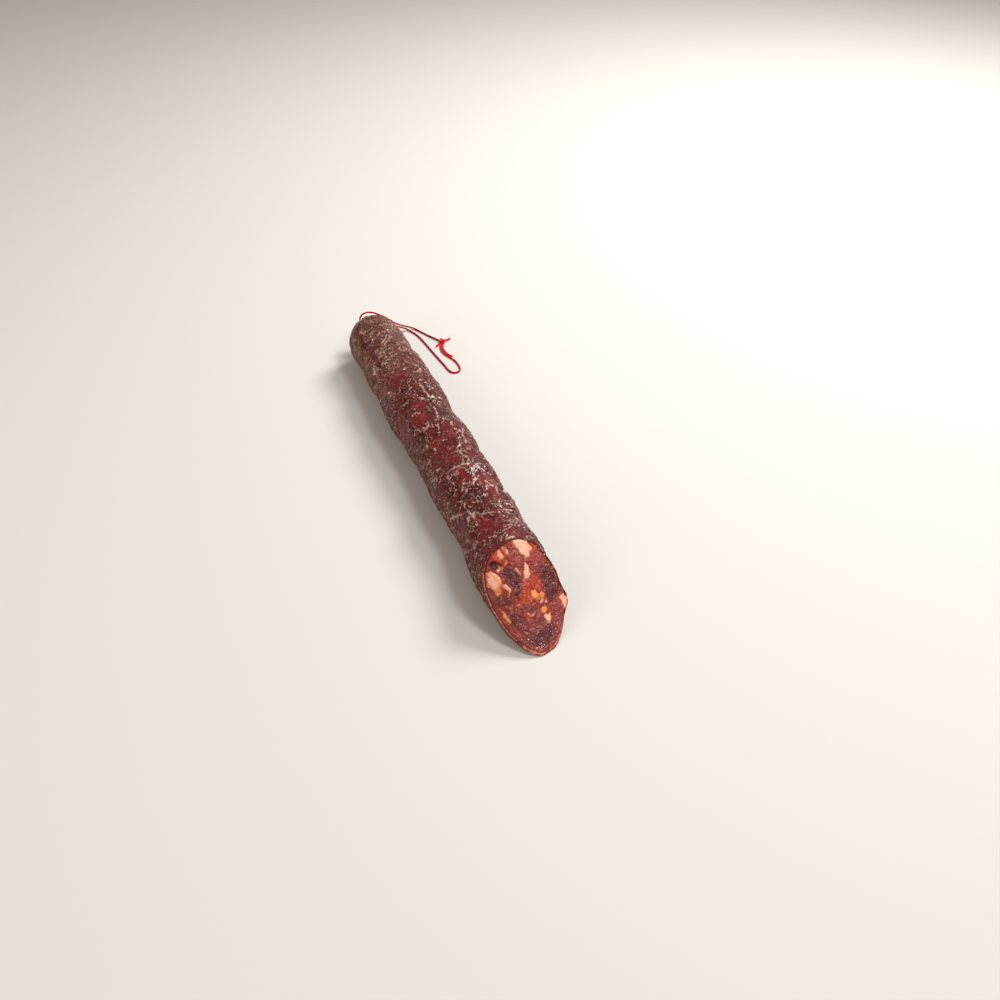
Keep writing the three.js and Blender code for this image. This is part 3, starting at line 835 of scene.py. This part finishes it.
PASTE = [
    (0.75, [(-1.9, 29.3), (1.0, 29.9), (5.6, 28.7), (9.8, 28.0), (11.0, 24.2), (10.8, 20.2), (7.9, 18.6),
            (3.7, 19.4), (-4.0, 20.7), (-5.2, 22.5), (-2.4, 25.2), (-0.7, 26.9)]),
    (1.00, [(-4.0, 21.5), (-2.2, 25.0), (0.5, 25.8), (2.4, 23.9), (1.6, 21.5), (0.1, 20.7)]),
    (1.00, [(8.6, 43.8), (12.9, 43.0), (16.5, 40.2), (17.4, 36.8), (13.2, 37.2), (10.4, 39.4)]),
    (0.70, [(-9.8, 21.0), (-6.8, 22.1), (-4.2, 20.9), (-5.2, 19.3), (-8.6, 18.9)]),
    (1.00, [(-14.8, 40.1), (-13.4, 43.6), (-10.7, 44.3), (-8.1, 43.4), (-7.3, 40.7), (-8.3, 37.9),
            (-11.1, 37.0), (-13.8, 37.8)]),
]
FAT = [
    (0.45, [(-11.7, 40.1), (-10.7, 42.4), (-8.9, 42.6), (-7.9, 41.1), (-8.3, 39.3), (-9.9, 38.4)]),
    (0.08, [(-0.8, 46.6), (2.0, 47.0), (6.8, 44.9), (9.6, 42.0), (11.3, 38.4), (9.8, 37.1), (8.2, 36.0),
            (6.5, 35.8), (4.8, 37.1), (3.0, 39.0), (1.6, 41.0), (0.2, 43.0)]),
    (0.80, [(-18.7, 27.3), (-15.2, 28.4), (-14.0, 26.7), (-15.8, 24.6), (-17.5, 24.4)]),
    # A thin pale membrane at the hollow's lower right edge, painted pale for its glint as well
    (0.00, [(-13.6, 34.6), (-12.4, 35.6), (-11.2, 36.4), (-11.0, 35.8), (-12.2, 34.9), (-13.4, 33.9)]),
    (0.10, [(-20.1, 30.1), (-19.1, 32.8), (-16.7, 34.2), (-14.6, 33.6), (-13.0, 31.5), (-13.4, 29.3),
            (-14.8, 27.4), (-16.8, 26.1), (-18.7, 26.5), (-19.6, 28.2)]),
    (0.15, [(4.8, 35.7), (3.3, 34.5), (2.5, 32.4), (0.8, 31.1), (0.3, 29.5), (3.7, 28.7), (6.3, 29.8),
            (5.8, 32.0), (5.4, 34.1)]),
    (0.00, [(-13.0, 28.6), (-10.9, 29.5), (-9.5, 28.1), (-9.0, 26.8), (-9.9, 25.9), (-10.3, 24.5),
            (-11.4, 24.7), (-11.0, 26.5), (-12.3, 27.2)]),
    (0.75, [(1.4, 22.7), (3.1, 23.8), (5.8, 23.1), (7.2, 21.2), (5.4, 20.1), (2.6, 20.8)]),
    (0.90, [(7.5, 21.0), (9.5, 21.8), (10.1, 19.6), (8.5, 18.5)]),
    (0.30, [(6.2, 18.9), (9.1, 19.1), (9.3, 17.9), (6.8, 17.9)]),
    (0.35, [(19.4, 16.4), (23.2, 16.4), (26.0, 12.4), (25.6, 9.6), (21.6, 9.8), (20.2, 12.2)]),
    (0.15, [(6.6, 12.7), (8.3, 13.0), (9.7, 12.7), (11.8, 13.8), (10.7, 11.3), (9.5, 10.1), (7.6, 10.5)]),
    (0.80, [(5.6, 14.8), (7.7, 16.8), (9.7, 16.3), (9.9, 14.3), (7.6, 13.2), (6.0, 13.8)]),
    (0.50, [(-17.7, 19.4), (-16.6, 19.0), (-14.8, 16.5), (-14.1, 14.0), (-15.4, 13.5), (-17.2, 16.1)]),
    (0.45, [(-6.5, 41.9), (-5.3, 42.9), (-4.1, 42.1), (-4.5, 40.5), (-6.1, 40.5)]),
    (0.65, [(-7.3, 38.7), (-6.3, 38.5), (-7.3, 36.5), (-10.3, 34.6), (-11.1, 34.8), (-8.9, 36.7)]),
    (0.30, [(-2.9, 34.9), (-2.3, 34.9), (-0.9, 32.4), (-0.5, 31.6), (-1.3, 31.7), (-2.1, 32.9)]),
    (0.20, [(-3.4, 17.1), (-2.8, 17.1), (-1.8, 16.0), (-0.8, 15.9), (0.9, 16.7), (1.1, 16.2), (-0.6, 15.3),
            (-2.1, 15.4)]),
    (0.40, [(-8.0, 20.7), (-7.0, 21.3), (-4.8, 19.7), (-5.2, 19.4), (-6.6, 20.1)]),
]
OIL_STAINS = [
    (0.85, [(-14.0, 31.2), (-12.4, 30.6), (-12.8, 27.6), (-14.6, 25.6), (-18.0, 24.6), (-16.8, 27.0),
            (-14.9, 28.6)]),
    (0.50, [(7.0, 42.6), (11.4, 39.4), (12.2, 37.0), (9.2, 35.4), (8.4, 38.6)]),
    (0.45, [(4.0, 31.4), (6.6, 31.6), (6.2, 28.2), (2.6, 28.2)]),
]
EDGE_WIDTH = {"fat": 1.1, "lean": 2.8, "paste": 2.8}      # over which a piece fades into the next
RAISED = {"fat": 0.32, "lean": 0.10, "paste": 0.12}       # how far each kind stands up
SEAM = {"fat": 0.8, "lean": 0.3, "paste": 0.3}            # how open the gap round it is
LARGE = 4.0                       # from this width on a piece has its full relief
HOLLOW = (-13.9, 36.4, 3.3, 2.7, 3.4)     # across, up, half width, half length, depth

bpy.ops.object.select_all(action='DESELECT')
bpy.ops.mesh.primitive_grid_add(x_subdivisions=FACE_COLUMNS, y_subdivisions=FACE_ROWS, size=2)
meat = bpy.context.object
meat.name = "cut_meat"
mesh = meat.data
square = get_places(mesh)[:, :2] * MM
disc = np.stack([square[:, 0] * np.sqrt(1 - square[:, 1] ** 2 / 2),
                 square[:, 1] * np.sqrt(1 - square[:, 0] ** 2 / 2)], -1)
rim_flat = np.stack([rim[:, 1] - FACE_MIDDLE[0], (rim[:, 2] - FACE_MIDDLE[1]) * FACE_SLOPE], -1)
rim_turn = np.arctan2(rim_flat[:, 0], rim_flat[:, 1])
order = np.argsort(rim_turn)
disc_turn = np.arctan2(disc[:, 0], disc[:, 1])
rim_reach = np.interp(disc_turn, rim_turn[order], np.hypot(*rim_flat.T)[order], period=2 * math.pi)
flat = disc * (rim_reach - INSIDE_RIM)[:, None]
to_edge = (1 - np.hypot(disc[:, 0], disc[:, 1])) * rim_reach
y = FACE_MIDDLE[0] + flat[:, 0]
z = FACE_MIDDLE[1] + flat[:, 1] / FACE_SLOPE

on_face = np.stack([y, z * FACE_SLOPE, np.zeros(len(y))], -1)
torn = 0.95 * ripple(on_face, 3.4, 21) + 0.60 * ripple(on_face, 1.5, 22) + 0.35 * ripple(on_face, 0.7, 29)
shift = 0.9 * np.stack([ripple(on_face, 5.0, 23), ripple(on_face, 5.0, 24)], -1)
at_y = y + shift[:, 0]
at_s = z * FACE_SLOPE + shift[:, 1]


def inside_of(corners):
    """Distance in millimetres to the outline of a piece on the face, positive inside it."""
    corners = [(across, up * FACE_SLOPE) for across, up in corners]
    nearest = np.full(len(y), 99.0)
    crossings = np.zeros(len(y), dtype=int)
    for (y0, s0), (y1, s1) in zip(corners, corners[1:] + corners[:1]):
        along = ((at_y - y0) * (y1 - y0) + (at_s - s0) * (s1 - s0)) / ((y1 - y0) ** 2 + (s1 - s0) ** 2)
        along = np.clip(along, 0, 1)
        nearest = np.minimum(nearest, np.hypot(at_y - y0 - along * (y1 - y0), at_s - s0 - along * (s1 - s0)))
        between = (s0 > at_s) != (s1 > at_s)
        crossings += between & (at_y < y0 + (at_s - s0) * (y1 - y0) / (s1 - s0 + 1e-9))
    return np.where(crossings % 2 == 1, nearest, -nearest)


def over(below, share, above):
    """Lays values over others by a share."""
    return below * (1 - share) + share * above


# Small bits between the large pieces
SMALL_BITS = 120
BIT_CORNERS = 6
FAT_BIT = (0.4, 1.0)              # half its width, least and most
MEAT_BIT = (0.9, 2.2)
rng = np.random.default_rng(11)
pieces = []
for k in range(SMALL_BITS):
    kind = ("lean", "lean", "paste", "fat")[k % 4]
    size = rng.uniform(*(FAT_BIT if kind == "fat" else MEAT_BIT))
    mid_y, mid_z = rng.uniform(-22, 22), rng.uniform(1, 43)
    spin, stretch = rng.uniform(0, 6.3), rng.uniform(1.0, 1.9)
    corners = []
    for step in range(BIT_CORNERS):
        angle = 2 * math.pi * step / BIT_CORNERS + rng.uniform(-0.3, 0.3)
        du, dv = size * math.cos(angle), size * stretch * math.sin(angle)
        corners.append((mid_y + du * math.cos(spin) - dv * math.sin(spin),
                        mid_z + (du * math.sin(spin) + dv * math.cos(spin)) / FACE_SLOPE))
    pieces.append((kind, rng.uniform(0.2, 0.9), corners))
for kind, rows in (("lean", LEAN), ("paste", PASTE), ("fat", FAT), ("oil stain", OIL_STAINS)):
    pieces += [(kind, *row) for row in rows]

marks = {label: np.zeros(len(y)) for label in ("fat", "lean", "oil", "dark")}
marks["oil"] += 0.25
seam = np.zeros(len(y))
lift = np.zeros(len(y))
for kind, richness, corners in pieces:
    span = np.ptp(np.array(corners) * [1, FACE_SLOPE], axis=0)
    small = min(1.0, min(span) / LARGE)
    inside = inside_of(corners) + torn * (0.35 + 0.65 * small)
    if kind == "oil stain":            # paprika oil soaked into the fat
        marks["oil"] = over(marks["oil"], rising(inside, -1.5, 3.0), richness)
        continue
    soft = eased(rising(inside, -EDGE_WIDTH[kind] / 2, EDGE_WIDTH[kind]))
    for label in ("fat", "lean"):
        marks[label] = over(marks[label], soft, kind == label)
    rim_oil = 0.55 * small * hump(inside, 0, 0.9) if kind == "fat" else 0
    label = "dark" if kind == "lean" else "oil"
    marks[label] = over(marks[label], soft, np.minimum(richness + rim_oil, 1))
    seam = np.maximum(seam * (1 - soft), SEAM[kind] * small * hump(inside, -0.15, 0.50))
    lift = over(lift, soft, RAISED[kind] * small * np.clip(0.3 + inside / 1.6, 0, 1))

grain = ripple(on_face, 1.1, 25) * 0.5 + ripple(on_face, 0.6, 26) * 0.3
uneven = 0.55 * ripple(on_face, 7.0, 27) + 0.35 * ripple(on_face, 3.0, 28)
height = uneven + lift - 0.40 * seam + 0.42 * grain * (1 - 0.8 * marks["fat"])
u = (at_y - HOLLOW[0] + 0.9 * torn) / HOLLOW[2]
v = (at_s - HOLLOW[1] * FACE_SLOPE - 0.7 * torn) / HOLLOW[3]
hollow = np.clip(1.25 - (u * u + v * v) ** 1.2, 0, 1)
height -= HOLLOW[4] * hollow
beside_lip = hump(to_edge, 0, 0.8)
left_side = rising(y, -8, -6)
height = height * np.clip(to_edge / 1.2, 0.15, 1) - beside_lip * (0.35 + 0.9 * left_side)
wet_foot = rising(z, 11, -5) * rising(to_edge, 1.5, 3)
# Painted shade in the hollow: it is darkened
marks["dark"] = np.clip(marks["dark"] + 0.8 * hollow, 0, 1)
marks["fat"] *= 1 - 0.9 * hollow
marks["wet"] = 0.10 + 0.8 * np.maximum(hollow, wet_foot)
# Painted shade in the crevices: the gaps round the pieces, the hollow, and the gap beside the lip, more on
# the left
marks["crevice_shade"] = np.clip(0.60 * seam + hollow + beside_lip * (0.3 + 0.7 * left_side), 0, 1)
set_places(mesh, np.stack([cut_place(y, z), y, z], -1) + np.outer(height, CUT_FACING))
keep_marks(mesh, marks)

# It is 3 mm deep, closed behind, and stays clear of the floor
MEAT_DEPTH = 3.0
MEAT_LOWEST = 0.6
bpy.ops.object.mode_set(mode='EDIT')
bpy.ops.mesh.select_all(action='SELECT')
bpy.ops.mesh.region_to_loop()
bpy.ops.mesh.extrude_edges_move(TRANSFORM_OT_translate={"value": CUT_FACING * -MEAT_DEPTH * MM})
bpy.ops.mesh.edge_face_add()
face_outward()
closed = get_places(mesh)
closed[:, 2] = np.maximum(closed[:, 2], MEAT_LOWEST)
set_places(mesh, closed)

moist_meat, tree, skin = new_material("moist_meat")
fat, lean_mark, oil, dark, crevice_shade, wet = (
    read_mark(tree, label) for label in ("fat", "lean", "oil", "dark", "crevice_shade", "wet"))
cloud = add_noise(tree, Scale=520.0, Detail=4.0, Roughness=0.6)
crumb = add_noise(tree, Scale=1500.0, Detail=3.0, Roughness=0.6)
marble = add_noise(tree, Scale=430.0, Detail=5.0, Roughness=0.68, Distortion=1.6)
veins = add_lines(tree, 330.0, 0.022, 0.60)[0]
sinew, sinew_height = add_lines(tree, 700.0, 0.035, 0.40)
cloudy = reckon(tree, 'SUBTRACT', ramp(tree, cloud, 2.4, -0.7), 0.5)
crumbly = reckon(tree, 'SUBTRACT', ramp(tree, crumb, 2.4, -0.7), 0.5)

# Red paste, oily in places, and pink to dark lean, both marbled
color = blend(tree, ramp(tree, cloudy, 0.5, oil), (0.150, 0.016, 0.016), (0.480, 0.048, 0.014))
lean_color = blend(tree, ramp(tree, crumbly, 0.3, dark), (0.320, 0.052, 0.044), (0.084, 0.009, 0.013))
color = tint(tree, blend(tree, lean_mark, color, lean_color),
             (ramp(tree, marble, 8.0, -4.35), 0.60, (0.500, 0.130, 0.090)),
             (ramp(tree, marble, -6.0, 3.0), 0.75, (0.070, 0.006, 0.006)))
# White to orange fat, flushed and veined
fat_color = blend(tree, ramp(tree, cloudy, 0.35, oil), (0.930, 0.530, 0.405), (0.690, 0.205, 0.034))
fat_color = tint(tree, fat_color,
                 (ramp(tree, marble, -5.0, 2.9), 0.55, (0.640, 0.200, 0.130)),
                 (veins, 0.60, (0.560, 0.120, 0.070)))
# Fat over the meat, then pale sinew, then painted shade in the crevices
color = tint(tree, blend(tree, fat, color, fat_color),
             (sinew, 0.55, (0.600, 0.260, 0.200)),
             (crevice_shade, 0.55, (0.060, 0.006, 0.006)))
relief = reckon(tree, 'ADD', crumb, times(tree, sinew_height, 0.4))
set_node(tree, skin, Base_Color=color, Roughness=reckon(tree, 'MULTIPLY_ADD', crumb, 0.34, 0.16),
         Normal=bumped(tree, relief, 0.6, 0.16 * MM), Specular_IOR_Level=0.25, Coat_Roughness=0.10,
         Coat_Weight=wet, Subsurface_Weight=0.12, Subsurface_Radius=(1.0, 0.35, 0.2),
         Subsurface_Scale=1.2 * MM)
meat.data.materials.append(moist_meat)
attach(meat, "root")
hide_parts("sausage")


# The floor: a plain pale sheet under the sausage.
FLOOR_WIDTH = 6                   # metres
bpy.ops.object.select_all(action='DESELECT')
bpy.ops.mesh.primitive_plane_add(size=FLOOR_WIDTH, location=(0, 0, 0))
floor = bpy.context.object
floor.name = "floor"
pale, tree, surface = new_material("pale_floor")
set_node(tree, surface, Base_Color=(0.58, 0.575, 0.565, 1), Roughness=0.9)
floor.data.materials.append(pale)


# The light: a soft lamp behind on the right that brings out the wrinkles, a weaker one high in
# front for the cut, a warm one on the left, and a pale room.
LAMPS = (                         # name, place, width in metres, watts, tone
    ("soft_lamp", (-0.52, 0.93, 1.05), 0.6, 24, (1.0, 0.94, 0.88)),
    ("front_lamp", (0.62, 0.42, 1.15), 0.35, 7, (1.0, 1.0, 1.0)),
    ("left_lamp", (0.5, -1.2, 0.8), 1.0, 7.5, (1.0, 0.84, 0.70)))
for name, place, size, power, tone in LAMPS:
    bpy.ops.object.light_add(type='AREA', location=place)
    lamp = bpy.context.object
    lamp.name = name
    lamp.data.color = tone
    lamp.data.shape = 'DISK'
    lamp.data.size = size
    lamp.data.energy = power
    lamp.rotation_euler = (-Vector(place)).to_track_quat('-Z', 'Y').to_euler()
room = bpy.data.worlds.new("room")
bpy.context.scene.world = room
room.use_nodes = True
set_node(room.node_tree, room.node_tree.nodes['Background'], Color=(1.0, 0.93, 0.84, 1), Strength=0.40)
